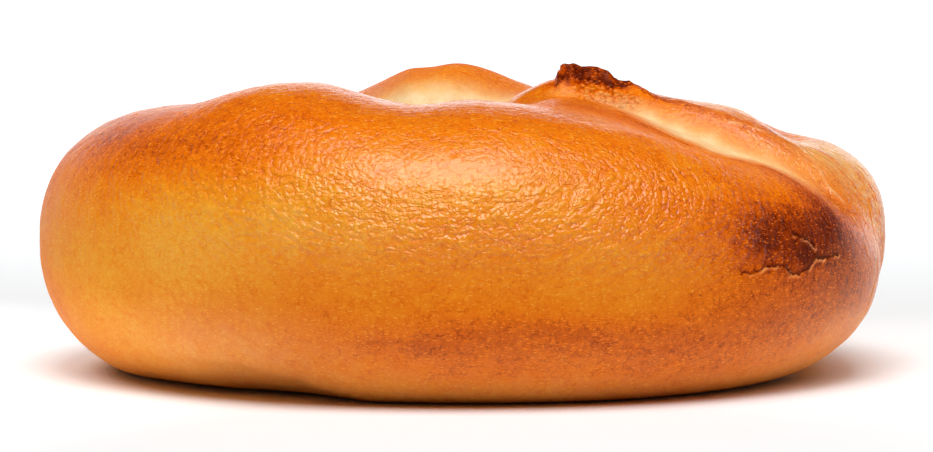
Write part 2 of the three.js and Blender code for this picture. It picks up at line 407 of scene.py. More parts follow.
def line_distance(points, *lines):
    """How far each point is from the nearest line of short pieces, and how far above it."""
    nearest = np.full(len(points), FAR_AWAY)
    above = np.zeros(len(points))
    for start, end in (piece for line in lines for piece in zip(line[:-1], line[1:])):
        span = end - start
        share = np.clip((points - start) @ span / max(span @ span, TINY), 0, 1)
        gap = points - (start + share[:, None] * span)
        distance = np.linalg.norm(gap, axis=1)
        closer = distance < nearest
        nearest = np.where(closer, distance, nearest)
        above = np.where(closer, gap[:, 2], above)
    return nearest, above


CRACK_LINES = [
    jagged(wall_points(places), CRACK_STEP, CRACK_JITTER, seed)
    for seed, places in enumerate(CRACKS, start=FIRST_CRACK_SEED)
]
SKIN_EDGE_LINE = jagged(wall_points(SKIN_EDGE), EDGE_STEP, EDGE_JITTER, SKIN_EDGE_SEED)
SIDE_CREASE_LINE = jagged(wall_points(SIDE_CREASE), EDGE_STEP, EDGE_JITTER, SIDE_CREASE_SEED)


# ---- the mesh ---------------------------------------------


def grid_mesh():
    """A closed grid whose vertices know their share of the way round the ring and the section."""
    mesh = bpy.data.meshes.new("bagel_crust")
    ring = np.arange(RING_STEPS)
    tube = np.arange(TUBE_STEPS)
    i, j = (index.ravel() for index in np.meshgrid(ring, tube, indexing="ij"))
    after_i, after_j = (i + 1) % RING_STEPS, (j + 1) % TUBE_STEPS
    corners = [(i, j), (after_i, j), (after_i, after_j), (i, after_j)]
    faces = np.stack([a * TUBE_STEPS + b for a, b in corners], axis=-1)
    ring_share, tube_share = i / RING_STEPS, j / TUBE_STEPS
    points = surface(along(RING_SPREAD, ring_share), along(TUBE_SPREAD, tube_share))
    mesh.from_pydata(points.tolist(), [], faces.tolist())
    for name, values in (("ring_share", ring_share), ("tube_share", tube_share)):
        mesh.attributes.new(name, "FLOAT", "POINT").data.foreach_set("value", values)
    return mesh


def read(items, name, kind=int):
    values = np.empty(len(items), dtype=kind)
    items.foreach_get(name, values)
    return values


def read_values(mesh, name):
    return read(mesh.attributes[name].data, "value", float)


def write_values(mesh, name, values):
    attribute = mesh.attributes.new(name, "FLOAT", "POINT")
    attribute.data.foreach_set("value", np.clip(values, 0.0, 1.0))


def grid_angles(mesh):
    """Every vertex's angle round the ring, and its turn round the section."""
    angle = along(RING_SPREAD, read_values(mesh, "ring_share"))
    return angle, along(TUBE_SPREAD, read_values(mesh, "tube_share"))


def refine(mesh, is_inside, cuts, only_round_section=False):
    """Split the faces inside a region into smaller ones, or only their edges round the section."""
    inside = is_inside(surface(*grid_angles(mesh)))
    work = bmesh.new()
    work.from_mesh(mesh)
    ring_share = work.verts.layers.float["ring_share"]
    edges = set()
    for face in work.faces:
        if all(inside[vertex.index] for vertex in face.verts):
            edges.update(face.edges)
    if only_round_section:
        edges = {
            edge for edge in edges
            if abs(edge.verts[0][ring_share] - edge.verts[1][ring_share]) < SAME_SHARE
        }
    bmesh.ops.subdivide_edges(work, edges=list(edges), cuts=cuts, use_grid_fill=True)
    work.to_mesh(mesh)
    work.free()


def is_on_lap(points, limits_x):
    """Whether points lie along the seam, between two places on the way out from the hole."""
    x, y, z = points.T
    past = y - seam_y(x)
    across = (past > LAP_PAST_LIMITS[0]) & (past < LAP_PAST_LIMITS[1])
    return (x > limits_x[0]) & (x < limits_x[1]) & across & (z > LAP_LOWEST)


def is_near_torn_edge(points):
    return is_on_lap(points, TORN_EDGE_LIMITS)


def is_near_groove(points):
    return is_on_lap(points, GROOVE_LIMITS)


def is_near_cracks(points):
    return line_distance(points, *CRACK_LINES)[0] < CRACK_REACH


def is_near_skin_edge(points):
    return line_distance(points, SKIN_EDGE_LINE, SIDE_CREASE_LINE)[0] < SKIN_EDGE_REACH


class Skin:
    """What is worked out for every vertex of the crust."""

    def __init__(self, mesh):
        self.angle, self.turn = grid_angles(mesh)
        self.points = surface(self.angle, self.turn)
        self.normals = surface_normals(self.angle, self.turn)
        self.x, self.y, self.z = self.points.T
        self.past = self.y - seam_y(self.x)
        self.sideways = np.cos(np.radians(self.turn))
        self.on_top = smooth(*ON_TOP_TILT, self.normals[:, 2])
        self.off_floor = smooth(*OFF_FLOOR_HEIGHTS, self.z)
        self.crack, self.above_crack = line_distance(self.points, *CRACK_LINES)
        self.skin_edge, _ = line_distance(self.points, SKIN_EDGE_LINE)
        self.side_crease, _ = line_distance(self.points, SIDE_CREASE_LINE)
        self.broken = smooth(*BROKEN_LIMITS, layered(self.points, BROKEN_LUMPS))


def cobbles(skin):
    """Where the torn face below the far end's lip is covered in small lumps."""
    return within(skin.past, *TORN_FACE_PAST) * within(skin.x, *TORN_FACE_X) * skin.on_top


def torn_edge_relief(skin):
    """The far end's torn edge: a rolled lip with knobs, above a face of small cobbles."""
    steep = smooth(*STEEP_TILT, skin.normals[:, 2])
    lip = TORN_LIP_HEIGHT * bell(skin.past - TORN_LIP_PAST, TORN_LIP_WIDTH) * steep
    lip *= lerp(1, TORN_LIP_THINNEST, smooth(*TORN_LIP_THINS_X, skin.x))
    knobs = layered(skin.points, *KNOBS) * bell(skin.past - KNOBS_PAST, KNOBS_WIDTH)
    knobs *= lerp(KNOBS_ON_LEVEL, 1, steep)
    lumpy_face = cobbles(skin) * layered(skin.points * TORN_FACE_SQUEEZE, TORN_FACE_LUMPS)
    return (lip + knobs) * within(skin.x, *TORN_LIP_X) * skin.on_top + lumpy_face


def crack_relief(skin):
    """The cracks, with a raised lip on both sides that is higher below."""
    depth = CRACK_DEPTH * lerp(CRACK_SHALLOWEST, 1, skin.broken)
    lip = CRACK_LIP_HEIGHT * np.where(skin.above_crack < 0, 1, CRACK_UPPER_LIP)
    lip = lip * bell(skin.crack - CRACK_LIP_PLACE, CRACK_LIP_WIDTH)
    return lip - depth * bell(skin.crack, CRACK_WIDTH)


def edge_relief(skin):
    """The thin edge of the near end's skin, and the crease beside it with its lip."""
    edge = EDGE_HEIGHT * bell(skin.skin_edge, EDGE_WIDTH) * skin.broken
    crease = EDGE_HEIGHT * bell(skin.side_crease, EDGE_WIDTH)
    lip = CREASE_LIP_HEIGHT * bell(skin.side_crease - CREASE_LIP_PLACE, CREASE_LIP_WIDTH)
    return edge - crease + lip


def fold_relief(skin):
    """The valley and the upright fold at the near left."""
    from_valley = skin.angle - VALLEY_ANGLE - VALLEY_SLANT * (skin.z - VALLEY_MIDDLE)
    valley = VALLEY_DEPTH * bell(from_valley, VALLEY_WIDTH) * within(skin.z, *VALLEY_HEIGHTS)
    upright = UPRIGHT_HEIGHT * bell(skin.angle - UPRIGHT_ANGLE, UPRIGHT_WIDTH)
    upright *= within(skin.z, *UPRIGHT_HEIGHTS)
    return (upright - valley) * (skin.sideways > 0)


def fine_relief(skin):
    """Height along the normal, in millimetres."""
    relief = layered(skin.points, *SKIN_LUMPS) + crack_relief(skin) + edge_relief(skin)
    return (relief + fold_relief(skin) + torn_edge_relief(skin)) * skin.off_floor


def bake_map(mesh):
    """Two strips, one for each half of the ring, so a texture baked onto this map is spread evenly."""
    layer = mesh.uv_layers.new(name="OFBake")
    corner_vertex = read(mesh.loops, "vertex_index")
    starts, sizes = read(mesh.polygons, "loop_start"), read(mesh.polygons, "loop_total")
    face_of_corner = np.repeat(np.arange(len(starts)), sizes)

    def unwrapped(name):
        value = read_values(mesh, name)[corner_vertex]
        first = value[starts][face_of_corner]
        return value - np.round(value - first)

    def face_mean(value):
        return np.add.reduceat(value, starts) / sizes

    ring, tube = unwrapped("ring_share"), unwrapped("tube_share")
    ring = ring - np.floor(face_mean(ring))[face_of_corner]
    tube = tube - np.floor(face_mean(tube))[face_of_corner]
    strip = np.floor(2 * face_mean(ring))[face_of_corner]
    margin = 0.004
    across = lerp(margin, 1 - margin, 2 * ring - strip)
    up = (strip + lerp(2 * margin, 1 - 2 * margin, tube)) / 2
    layer.data.foreach_set("uv", np.stack([across, up], axis=-1).ravel())


# ---- colour fields ----------------------------------------
# A patch is listed as (centre, radii, amount), in millimetres, a step of height as ((start, full),
# amount), and a noise as (lump size, seed, amount).

BROWN_BASE = 0.365
BROWN_HEIGHTS = [((14, 33), 0.14), ((12, 1), -0.06), ((4, 1), -0.06)]
BROWN_LUMPS = (14.0, 8, 0.07)
# Browner and lighter places. Some browner ones are painted shade and some lighter ones painted
# highlight, as marked.
BROWN_AND_PAINTED_SHADE_PATCHES = [
    ((-33, -38, 30), (13, 10, 6), 0.17),
    ((-44, -18, 31), (10, 16, 4.5), 0.26),
    ((43.7, -26, 19.5), (6, 8, 5.2), 0.31),
    ((36, -35, 19.3), (8, 8, 4.8), 0.37),
    ((32, -36, 21), (11, 9, 6), 0.16),
    ((48, -20, 14), (11, 14, 10), 0.33),
    ((41.5, -33, 17), (1.6, 3, 1.4), 0.22),
    ((-30, -42, 7), (14, 10, 5), 0.05),
    ((-7, -49, 8), (8, 6, 1.6), 0.12),
    ((8, -50, 10), (8, 6, 1.6), 0.12),
    # Browner low on the right: partly darker crust, partly painted shade where less light reaches the
    # lower side.
    ((34, -37, 8), (18, 12, 8), 0.28),
    ((8, -48, 6.5), (30, 14, 4.5), 0.20),
    ((6, -50, 9), (11, 10, 3.5), 0.11),
    ((-2, 16, 36.5), (16, 7, 2), 0.09),
    ((22, -19, 32), (8, 8, 3), 0.09),
    ((-40, -33, 28), (7, 8, 4), 0.07),
]
LIGHTER_AND_PAINTED_HIGHLIGHT_PATCHES = [
    ((-32, -40, 21), (14, 12, 7), 0.26),
    ((-46, -28, 14), (10, 14, 9), 0.20),
    # These two lighten the crust where the highlight and its glints lie: painted highlight, the second
    # also a more golden crust.
    ((0, -47, 27), (16, 8, 5), 0.20),
    ((-17, -47, 23), (8, 8, 5), 0.15),
    ((46, -4, 26), (7, 7, 6), 0.12),
    ((-3, 15, 33), (15, 8, 4), 0.22),
]

# The brown rim of the far end: where it starts and ends, how brown it is, and its unevenness.
RIM_START_PAST, RIM_START_RISES_X = (1.0, 2.4), (17, 22)
RIM_START_FADE = (-0.3, 0.4)
RIM_END_PAST = (3.6, 8.0)
RIM_BROWN, RIM_BROWN_FALLS_X = (0.43, 0.27), (19.5, 22.5)
RIM_X = ((9.5, 13), (24, 32))
RIM_START_LUMPS = (1.2, 9, 0.5)
RIM_END_LUMPS = (1.8, 14, 1.0)
RIM_X_LUMPS = (2.2, 13, 1.2)
RIM_BROWN_LUMPS = (0.8, 15, 0.7)
# The brown lines on the ridge further out and on the near end's crest, as for strip() below.
RIDGE_LINE, RIDGE_LINE_BROWN = (2.5, 1.1, ((22, 28), (42, 46))), 0.15
CREST_LINE, CREST_LINE_BROWN = (-13.0, 2.8, ((17, 27), (60, 70))), 0.12
# The cracks are darkened inside with painted shade; beside them the crust is browner above and lighter
# below.
CRACK_SHADE, CRACK_SHADE_LEAST = 0.4, 0.7
ABOVE_CRACK_BROWN, BELOW_CRACK_BROWN = 0.10, -0.25
CRACK_SIDE_PLACE, CRACK_SIDE_WIDTH = 0.2, 0.2

# Where the dough has stayed pale, and one place of painted sheen.
PALE_AND_PAINTED_SHEEN_PATCHES = [
    ((-32, -40, 6), (16, 12, 6), 0.16),
    ((45, 0, 26), (8, 9, 6), 0.42),
    ((48, -20, 8), (16, 16, 9), 0.11),
    ((-2, 15, 31.7), (14, 7, 2.7), 1.45),
    ((38, -33, 22), (13, 12, 7), -0.05),
    # Paler behind the far ridge: painted sheen.
    ((33, 1, 33), (8, 5, 3), 0.34),
    ((18, -4, 37), (7, 4, 2.5), -0.30),
]
# Paler towards the bottom: partly pale crust, partly painted reflection of the white floor on the lower
# side.
PALE_AND_PAINTED_REFLECTION_HEIGHTS = [((13, 4), 0.07), ((5, 1), 0.06), ((24, 18), 0.008)]
HOLE_WALL_TURNS, HOLE_WALL_PALE = (130, 160), 0.6

# The groove, as the distances past the seam over which it rises, its middle and width, and its x.
PALE_GROOVE = ((-12.8, -6.8), -2.0, 2.1, ((14.5, 26), (36, 46)))
DULL_GROOVE = ((-14, -8), -1.0, 2.8, ((14, 20), (40, 46)))
GROOVE_PALE = 0.80
GROOVE_PAST_LUMPS = (3.0, 16, 0.7)
GROOVE_X_LUMPS = (4.0, 17, 2.0)
GROOVE_PALE_LUMPS = (5.0, 18, 0.2)
# The torn face below the rim, the lips of the cracks, the skin's edge and the side crease.
TORN_FACE, TORN_FACE_PALE = (0.2, 1.5, ((9, 13), (19, 26))), 0.24
CRACK_LIP_PALE, CRACK_LIP_TOP = 0.25, 0.1
# The skin's thin edge is paler: partly pale dough, partly painted highlight where its lip catches the
# light.
SKIN_EDGE_PALE_AND_PAINTED_HIGHLIGHT = 0.4
SIDE_CREASE_PALE, SIDE_CREASE_PLACE, SIDE_CREASE_WIDTH = 0.2, 0.7, 0.4

# Where the skin has lost its gloss, and where it is glossiest.
DULL_PATCHES = [
    ((41, -29, 21), (14, 13, 8), 1.3),
    ((-38, -27, 29), (15, 16, 7), 0.95),
    ((-22, -44, 30), (8, 8, 4), 0.45),
    ((21, -21, 33), (13, 10, 4), 0.95),
    ((28, -25, 31), (9, 10, 4), 0.90),
    ((0, 28, 36), (20, 13, 6), 1.10),
]
GLOSSY_PATCHES = [
    ((46, -22, 8), (12, 16, 6), 0.25),
    ((-17, -46, 24), (10, 10, 6), 0.42),
    ((2, -49, 21), (20, 9, 4.5), 0.40),
    ((24, -44, 22), (13, 10, 6), 0.42),
]
GLAZE_BASE = 0.04
GLAZE_HEIGHTS = [((13, 24), 0.54), ((31, 35), 0.18)]
# The low left end is duller, the right end glossier, and the cracks and the torn face are dull.
LEFT_DULL, LEFT_DULL_X, LEFT_DULL_HEIGHTS = 0.8, (-34, -44), (25, 31)
RIGHT_GLAZE, RIGHT_ANGLE, RIGHT_ANGLE_WIDTH = 0.48, -13.0, 9.0
RIGHT_SIDEWAYS, RIGHT_HEIGHTS = (0.0, 0.5), (6, 14)
CRACK_DULL_WIDTH = 0.5
TORN_DULL = (1.5, 3.4, ((10, 12), (22, 28)))

# Where the skin is crinkled more and less.
CRINKLED_PATCHES = [
    ((2, -47, 23.5), (31, 12, 7.5), 0.90),
    ((27, -43, 22), (14, 12, 7.5), 0.85),
    ((-32, -38, 28), (12, 12, 6), 0.45),
    ((-1, -46.5, 28), (11, 8, 2.8), -0.95),
    ((-40, -20, 30), (16, 22, 6), 0.80),
    ((36, -30, 26), (8, 8, 3), 0.50),
]
CRINKLE_BASE = 0.15
CRINKLE_HEIGHTS = [((8, 20), 0.30), ((31, 34), -0.12)]

# The streaks, on the far end, round its outer side, and faintly on the near end's crest.
FAR_STREAKS_PAST, FAR_STREAKS_X = (2.5, 4.5), (21, 27)
FAR_STREAKS_FADE, FAR_STREAKS_LEAST = (7, 15), 0.35
LOBE_STREAKS_ANGLE, LOBE_STREAKS_WIDTH, LOBE_STREAKS_X = 4.0, 14.0, (34, 40)
CREST_STREAKS, CREST_STREAKS_SHARE = (-11.0, 3.0, ((10, 22), (38, 44))), 0.5
STREAKS_HEIGHTS = (10, 18)


def patches(points, listed):
    total = np.zeros(len(points))
    for centre, radii, amount in listed:
        total += amount * np.exp(-(((points - centre) / radii) ** 2).sum(axis=1))
    return total


def steps(value, listed):
    """The sum of smooth steps of the value, each listed as (limits, amount)."""
    return sum(amount * smooth(*limits, value) for limits, amount in listed)


def strip(skin, past, width, limits_x):
    """1 along a line beside the seam, within limits of x."""
    return bell(skin.past - past, width) * within(skin.x, *limits_x)


def groove_share(past, x, rise, middle, far_width, limits_x):
    """1 in the groove's middle: a slope on the near side of it, and half a bell on the far side."""
    across = np.where(past < middle, smooth(*rise, past), bell(past - middle, far_width))
    return across * within(x, *limits_x)


def rim_browning(skin):
    """The far end's rim, dark where it is torn and lighter further out."""
    start = lerp(*RIM_START_PAST, smooth(*RIM_START_RISES_X, skin.x))
    start = start + layered(skin.points, RIM_START_LUMPS)
    rim = smooth(*RIM_START_FADE, skin.past - start)
    rim *= 1 - smooth(*RIM_END_PAST, skin.past + layered(skin.points, RIM_END_LUMPS))
    uneven_x = skin.x + layered(skin.points, RIM_X_LUMPS)
    rim *= lerp(*RIM_BROWN, smooth(*RIM_BROWN_FALLS_X, uneven_x)) * within(uneven_x, *RIM_X)
    return rim * (1 + layered(skin.points, RIM_BROWN_LUMPS))


def crack_shade_and_browning(skin):
    beside = np.where(skin.above_crack > 0, ABOVE_CRACK_BROWN, BELOW_CRACK_BROWN * skin.broken)
    # Painted shade inside the crack.
    inside = CRACK_SHADE * lerp(CRACK_SHADE_LEAST, 1, skin.broken) * bell(skin.crack, CRACK_WIDTH)
    return inside + beside * bell(skin.crack - CRACK_SIDE_PLACE, CRACK_SIDE_WIDTH)


def browning_and_painted_light(skin):
    """The place on the crust's colour ramp: 0 is unbrowned and 1 is darkest."""
    # Besides the browning, this holds painted shade in the cracks and low on the right, and painted
    # highlight where the highlight lies.
    value = BROWN_BASE + steps(skin.z, BROWN_HEIGHTS) + layered(skin.points, BROWN_LUMPS)
    value += patches(skin.points, BROWN_AND_PAINTED_SHADE_PATCHES) - patches(skin.points, LIGHTER_AND_PAINTED_HIGHLIGHT_PATCHES)
    lines = RIDGE_LINE_BROWN * strip(skin, *RIDGE_LINE) + CREST_LINE_BROWN * strip(skin, *CREST_LINE)
    value += (rim_browning(skin) + lines) * skin.on_top
    return value + crack_shade_and_browning(skin)


def paleness_and_painted_light(skin):
    """How pale the dough is, from the crust's own colour to that of unbaked dough."""
    # Besides pale dough, this holds painted sheen behind the far ridge, painted reflection of the white
    # floor low down, and partly painted highlight along the skin's edge.
    uneven_past = skin.past + layered(skin.points, GROOVE_PAST_LUMPS)
    uneven_x = skin.x + layered(skin.points, GROOVE_X_LUMPS)
    groove = GROOVE_PALE * groove_share(uneven_past, uneven_x, *PALE_GROOVE)
    groove *= 1 + layered(skin.points, GROOVE_PALE_LUMPS)
    face = TORN_FACE_PALE * strip(skin, *TORN_FACE)
    value = (groove + face) * skin.on_top + patches(skin.points, PALE_AND_PAINTED_SHEEN_PATCHES)
    value += HOLE_WALL_PALE * smooth(*HOLE_WALL_TURNS, np.abs(skin.turn))
    value += steps(skin.z, PALE_AND_PAINTED_REFLECTION_HEIGHTS)
    crack_lip = CRACK_LIP_PALE * bell(skin.crack - CRACK_LIP_PLACE, CRACK_LIP_WIDTH)
    crack_lip *= skin.above_crack < CRACK_LIP_TOP
    skin_edge = SKIN_EDGE_PALE_AND_PAINTED_HIGHLIGHT * bell(skin.skin_edge, EDGE_WIDTH)
    crease = SIDE_CREASE_PALE * bell(skin.side_crease - SIDE_CREASE_PLACE, SIDE_CREASE_WIDTH)
    return value + (crack_lip + skin_edge + crease) * skin.broken


def glaze(skin):
    """How thickly the glossy skin lies, as the coat's weight."""
    value = GLAZE_BASE + steps(skin.z, GLAZE_HEIGHTS)
    value *= 1 - LEFT_DULL * smooth(*LEFT_DULL_X, skin.x) * (1 - smooth(*LEFT_DULL_HEIGHTS, skin.z))
    value *= np.clip(1 - patches(skin.points, DULL_PATCHES), 0, 1)
    right_end = RIGHT_GLAZE * bell(skin.angle - RIGHT_ANGLE, RIGHT_ANGLE_WIDTH)
    value += right_end * smooth(*RIGHT_SIDEWAYS, skin.sideways) * smooth(*RIGHT_HEIGHTS, skin.z)
    value += patches(skin.points, GLOSSY_PATCHES)
    value *= 1 - bell(skin.crack, CRACK_DULL_WIDTH)
    dull_lap = np.maximum(strip(skin, *TORN_DULL), groove_share(skin.past, skin.x, *DULL_GROOVE))
    return value * (1 - dull_lap * skin.on_top)


def crinkle(skin):
    """How strongly the skin is crinkled."""
    return CRINKLE_BASE + steps(skin.z, CRINKLE_HEIGHTS) + patches(skin.points, CRINKLED_PATCHES)


def streaks(skin):
    """Where the skin is drawn out into long streaks."""
    far_end = smooth(*FAR_STREAKS_PAST, skin.past) * smooth(*FAR_STREAKS_X, skin.x)
    far_end *= lerp(1, FAR_STREAKS_LEAST, smooth(*FAR_STREAKS_FADE, skin.past))
    lobe = bell(skin.angle - LOBE_STREAKS_ANGLE, LOBE_STREAKS_WIDTH) * smooth(*LOBE_STREAKS_X, skin.x)
    crest = CREST_STREAKS_SHARE * strip(skin, *CREST_STREAKS)
    return np.maximum.reduce([far_end, lobe, crest]) * smooth(*STREAKS_HEIGHTS, skin.z)


VERTEX_FIELDS = {
    "browning_and_painted_light": browning_and_painted_light, "paleness_and_painted_light": paleness_and_painted_light, "glaze": glaze, "crinkle": crinkle,
    "streaks": streaks, "cobbles": cobbles,
}


# ---- materials --------------------------------------------


def srgb(red, green, blue):
    """A colour of the photo's 0-255 scale, as Blender's linear light."""
    def linear(value):
        value /= 255
        return value / 12.92 if value <= 0.04045 else ((value + 0.055) / 1.055) ** 2.4
    return (linear(red), linear(green), linear(blue), 1.0)


# The crust's colours, as (browning, colour), and that of dough that has stayed pale.
CRUST_RAMP = [
    (0.00, srgb(254, 175, 50)),
    (0.25, srgb(251, 148, 22)),
    (0.50, srgb(242, 119, 6)),
    (0.70, srgb(206, 84, 4)),
    (0.85, srgb(146, 50, 4)),
    (1.00, srgb(96, 28, 5)),
]
DOUGH_COLOUR = srgb(255, 222, 168)
CRUST_ROUGHNESS, CRUST_SPECULAR, COAT_ROUGHNESS = 0.45, 0.02, 0.035

# How much each mark adds to the browning, to the paleness and to the height in millimetres. The
# crinkles and cobbles lighten the crust on their ridges and lumps and brown it in the hollows between:
# painted light and shade.
MARK_AMOUNTS = {
    "browning_and_painted_light": {
        "streak": 0.55, "painted glint specks": -0.30, "dark specks": 0.12, "crinkles": -0.7, "cobble": 0.45,
        "fine cracks": 0.14,
    },
    "paleness_and_painted_light": {"painted glint specks": 0.03, "streak": -0.4, "cobble": -0.3},
    "height": {
        "crinkles": 1.0, "streak": 0.25, "painted glint specks": 0.008, "cobble": -0.4, "pores": 0.01,
        "fine cracks": -0.015,
    },
}
PALE_LIGHTENS = -0.30
# Unevenness of the brown, as (size, amount, detail, whether its spots are flattened), and of the pale.
BROWN_NOISES = [
    (7.0, 0.14, 3, False), (3.0, 0.08, 3, True), (0.8, 0.09, 2, False), (0.5, 0.15, 2, True),
    (0.28, 0.13, 1, False),
]
PALE_NOISE_SIZE, PALE_NOISE_AMOUNT, PALE_NOISE_DETAIL = 2.0, 0.6, 3
# Texture space is stretched along the height, which flattens the spots in it.
SPOT_FLATNESS = 3.5

# Specks, as (spacing, radius, share of the places that have one), in millimetres.
# The flat and fine specks are light specks that stand for glints: painted highlight, with a tiny bump.
FLAT_GLINT_SPECKS = (0.9, 0.3, 0.6)
FINE_GLINT_SPECKS = (0.5, 0.12, 0.4)
DARK_SPECKS = (1.5, 0.14, 0.45)
SPECK_CORE = 0.4

# Creases, as (size, steepness), and how places are pushed about by noise, as (size, reach).
FINE_CRACKS, FINE_CRACKS_PUSH = (2.2, 22.0), (0.8, 0.6)
WRINKLE_CREASES, WRINKLE_PUSH = (1.3, 5.0), (1.1, 0.5)
COBBLE_SIZE, COBBLE_PUSH, COBBLE_EDGE = 0.6, (1.1, 0.4), 0.4
PORE_SIZE = 0.5

# The wrinkles are cells, rings, creases and soft swellings, each with its height in millimetres.
WRINKLE_CELL_SIZE, WRINKLE_CELL_HEIGHT = 0.62, -0.15
WRINKLE_CREASE_HEIGHT = 0.05
SWELLING_SIZE, SWELLING_HEIGHT = 2.4, 0.22
# The rings lie round the skin's tightest place, in metres. More ring lengths make shorter rings.
RING_CENTRE = (-0.002, -0.044, 0.028)
RING_SQUEEZE = (0.6, 1.0, 1.0)
RING_SIZE, RING_HEIGHT = 0.45, 0.17
RING_LENGTHS = 6.0
RING_PUSH = (3.0, 1.0)

# The streaks run from the hole outwards, to the near side and down.
STREAK_DIRECTION = (0.85, -0.3, -0.45)
STREAK_SIZE, STREAK_STRETCH = 0.7, 7.0


class Nodes:
    """Short calls for adding and linking the nodes of one material or world."""

    def __init__(self, owner):
        owner.use_nodes = True
        self.tree = owner.node_tree

    def add(self, kind, inputs=None, **settings):
        node = self.tree.nodes.new("ShaderNode" + kind)
        for key, value in settings.items():
            setattr(node, key, value)
        for key, value in (inputs or {}).items():
            self.put(node.inputs[key], value)
        return node

    def put(self, socket, value):
        if isinstance(value, bpy.types.NodeSocket):
            self.tree.links.new(value, socket)
        else:
            socket.default_value = value

    def shade(self, name, inputs):
        """Set the inputs of the shader that is there from the start."""
        for key, value in inputs.items():
            self.put(self.tree.nodes[name].inputs[key], value)

    def place(self):
        return self.add("TexCoord").outputs["Object"]

    def math(self, operation, first, second=0.0):
        return self.add("Math", {0: first, 1: second}, operation=operation).outputs[0]

    def vector(self, operation, first, second=(0.0, 0.0, 0.0)):
        inputs = {0: first, 1: second}
        return self.add("VectorMath", inputs, operation=operation).outputs["Vector"]

    def length(self, vector):
        return self.add("VectorMath", {0: vector}, operation="LENGTH").outputs["Value"]

    def attribute(self, name):
        return self.add("Attribute", attribute_name=name).outputs["Fac"]

    def noise(self, place, size_mm, detail, output="Fac"):
        inputs = {"Vector": place, "Scale": MM_PER_METRE / size_mm, "Detail": detail}
        return self.add("TexNoise", inputs).outputs[output]

    def cells(self, place, size_mm):
        inputs = {"Vector": place, "Scale": MM_PER_METRE / size_mm}
        return self.add("TexVoronoi", inputs, feature="F1")

    def centred(self, value, amount):
        """Noise round 0.5 made into plus or minus the amount."""
        return self.math("MULTIPLY", self.math("SUBTRACT", value, 0.5), 2 * amount)

    def ramp(self, value, limits, levels, interpolation="SMOOTHSTEP"):
        """From the first level to the second, between two limits of the value."""
        inputs = {
            "Value": value, "From Min": limits[0], "From Max": limits[1],
            "To Min": levels[0], "To Max": levels[1],
        }
        node = self.add("MapRange", inputs, interpolation_type=interpolation)
        return node.outputs["Result"]

    def summed(self, parts):
        """The sum of values, each times its amount."""
        total = None
        for value, amount in parts:
            part = self.math("MULTIPLY", value, amount)
            total = part if total is None else self.math("ADD", total, part)
        return total


def drawn_out(nodes, place):
    """Texture space with spots drawn out along the streaks."""
    turn = Vector((1, 0, 0)).rotation_difference(Vector(STREAK_DIRECTION)).to_euler()
    inputs = {"Vector": place, "Rotation": turn, "Scale": (STREAK_STRETCH, 1.0, 1.0)}
    return nodes.add("Mapping", inputs, vector_type="TEXTURE").outputs[0]


def shaken(nodes, place, size_mm, reach_mm):
    """The place, pushed about by noise."""
    colour = nodes.noise(place, size_mm, 2, output="Color")
    push = nodes.vector("SUBTRACT", colour, (0.5, 0.5, 0.5))
    inputs = {0: push, "Scale": 2 * reach_mm / MM_PER_METRE}
    push = nodes.add("VectorMath", inputs, operation="SCALE").outputs["Vector"]
    return nodes.vector("ADD", place, push)


def creased(nodes, place, size_mm, steepness):
    """Thin wavy creases between soft swellings: 0 in a crease, 1 well away from it."""
    wave = nodes.math("ABSOLUTE", nodes.centred(nodes.noise(place, size_mm, 2), 1.0))
    return nodes.math("MINIMUM", nodes.math("MULTIPLY", wave, steepness), 1.0)


def ringed(nodes, place):
    """Noise from about -1 to 1, drawn out in rings round the skin's tightest place."""
    offset = nodes.vector("MULTIPLY", nodes.vector("SUBTRACT", place, RING_CENTRE), RING_SQUEEZE)
    scale = MM_PER_METRE / (RING_SIZE * RING_LENGTHS)
    inputs = {
        "Vector": nodes.vector("NORMALIZE", offset),
        "W": nodes.math("MULTIPLY", nodes.length(offset), scale),
        "Scale": RING_LENGTHS, "Detail": 2,
    }
    waves = nodes.add("TexNoise", inputs, noise_dimensions="4D").outputs["Fac"]
    return nodes.centred(waves, 1.0)


def wrinkles(nodes, place):
    """Height of the crinkled skin in millimetres, before it is scaled by the crinkle."""
    pushed = shaken(nodes, place, *WRINKLE_PUSH)
    cells = nodes.cells(pushed, WRINKLE_CELL_SIZE).outputs["Distance"]
    return nodes.summed([
        (nodes.math("MULTIPLY", cells, cells), WRINKLE_CELL_HEIGHT),
        (ringed(nodes, shaken(nodes, place, *RING_PUSH)), RING_HEIGHT),
        (creased(nodes, pushed, *WRINKLE_CREASES), WRINKLE_CREASE_HEIGHT),
        (nodes.noise(place, SWELLING_SIZE, 1), SWELLING_HEIGHT),
    ])


def specks(nodes, place, spacing_mm, radius_mm, share):
    """Small round specks: 1 in the middle of each, and 0 between them."""
    cells = nodes.cells(place, spacing_mm)
    red = nodes.add("SeparateColor", {0: cells.outputs["Color"]}).outputs[0]
    radius = radius_mm / spacing_mm
    spot = nodes.ramp(cells.outputs["Distance"], (SPECK_CORE * radius, radius), (1, 0), "LINEAR")
    return nodes.math("MULTIPLY", spot, nodes.math("LESS_THAN", red, share))


